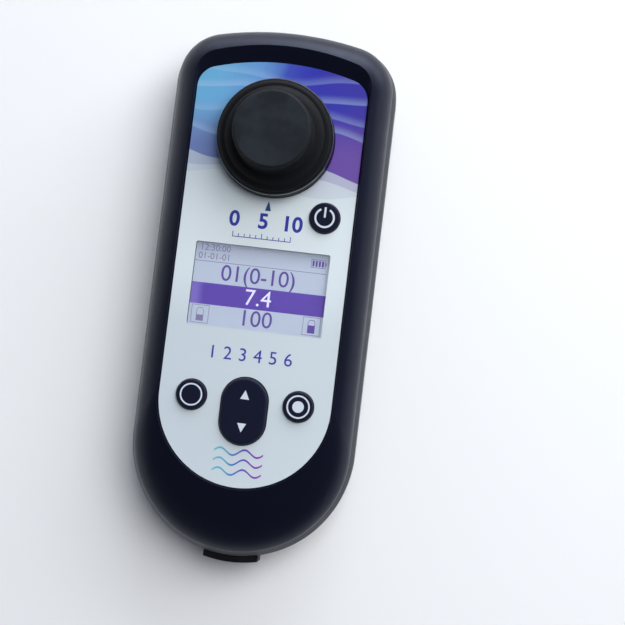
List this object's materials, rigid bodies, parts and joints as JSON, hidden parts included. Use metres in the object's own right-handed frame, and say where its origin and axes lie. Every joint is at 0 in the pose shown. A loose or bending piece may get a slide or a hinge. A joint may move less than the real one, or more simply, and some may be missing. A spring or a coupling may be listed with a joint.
{
  "type": "pool water photometer",
  "caption": "Hand-held photometer for pool water: long housing with a half-round lower end, face label, display, push keys and a round light cap over the vial well.",
  "frame": {"origin": "on the flat back, straight behind the centre of the display", "axes": "+X the instrument's right, +Y its top end with the light cap, +Z out of its face"},
  "size_m": [0.083, 0.1993, 0.0564],
  "materials": {
    "navy_shell": "satin moulded navy plastic, fine grain",
    "face_print": "satin printed polyester label",
    "clear_window": "clear flat window",
    "display_glass": "pale blue-grey liquid crystal",
    "black_plastic": "satin black plastic",
    "key_rubber": "smooth black key tops",
    "black_rubber": "matte rubber",
    "seal_silicone": "red-brown silicone seal",
    "bright_steel": "plated steel",
    "spring_brass": "plated spring brass",
    "green_board": "green solder mask",
    "chip_black": "moulded chip bodies",
    "lens_glass": "clear optical glass",
    "filter_glass": "coated interference glass",
    "white_panel": "white light guide",
    "amber_film": "amber polyimide film",
    "cell_jacket": "printed cell jacket"
  },
  "bodies": {
    "instrument": {"front_shell": "navy_shell", "rear_shell": "navy_shell", "shell_gasket": "seal_silicone", "shell_screws": "bright_steel", "face_label": "face_print", "display_window": "clear_window", "lcd_glass": "display_glass", "backlight_panel": "white_panel", "lcd_bezel": "chip_black", "display_flex": "amber_film", "main_board": "green_board", "board_screws": "bright_steel", "board_chips": "chip_black", "radio_module": "bright_steel", "buzzer": "chip_black", "clock_cell": "bright_steel", "clock_cell_clip": "spring_brass", "snap_domes": "bright_steel", "rocker_pin": "bright_steel", "vial_chamber": "black_plastic", "chamber_gasket": "seal_silicone", "chamber_screws": "bright_steel", "beam_windows": "lens_glass", "optical_filters": "filter_glass", "light_emitters": "lens_glass", "light_detectors": "chip_black", "optics_board": "green_board", "optics_screws": "bright_steel", "optics_flex": "amber_film", "battery_door": "navy_shell", "door_gasket": "seal_silicone", "door_screws": "bright_steel", "aa_cells": "cell_jacket", "contact_plates": "spring_brass", "contact_springs": "spring_brass", "usb_port": "bright_steel", "port_board": "green_board", "port_screws": "bright_steel", "port_flex": "amber_film", "cover_anchor": "black_rubber"},
    "light_cap": {"cap_shell": "black_plastic", "cap_seal": "seal_silicone"},
    "power_key": {"power_key": "key_rubber"},
    "left_key": {"left_key": "key_rubber"},
    "right_key": {"right_key": "key_rubber"},
    "rocker_key": {"rocker_key": "key_rubber"},
    "port_cover": {"port_cover": "black_rubber"}
  },
  "joints": [
    {"name": "cap_lift", "type": "slide", "parent": "instrument", "child": "light_cap", "axis": [0, 0, 1], "range_m": [0, 0.06]},
    {"name": "power_press", "type": "slide", "parent": "instrument", "child": "power_key", "axis": [0, 0, -1], "range_m": [0, 0.0008], "stiffness_N_per_m": 400},
    {"name": "left_press", "type": "slide", "parent": "instrument", "child": "left_key", "axis": [0, 0, -1], "range_m": [0, 0.0008], "stiffness_N_per_m": 400},
    {"name": "right_press", "type": "slide", "parent": "instrument", "child": "right_key", "axis": [0, 0, -1], "range_m": [0, 0.0008], "stiffness_N_per_m": 400},
    {"name": "rocker_tilt", "type": "hinge", "parent": "instrument", "child": "rocker_key", "pos_m": [0, -0.0446, 0.0302], "axis": [1, 0, 0], "range_deg": [-3.5, 3.5], "stiffness_Nm_per_rad": 0.05},
    {"name": "cover_swing", "type": "hinge", "parent": "instrument", "child": "port_cover", "pos_m": [0, -0.099, 0.0185], "axis": [-1, 0, 0], "range_deg": [0, 110]}
  ]
}
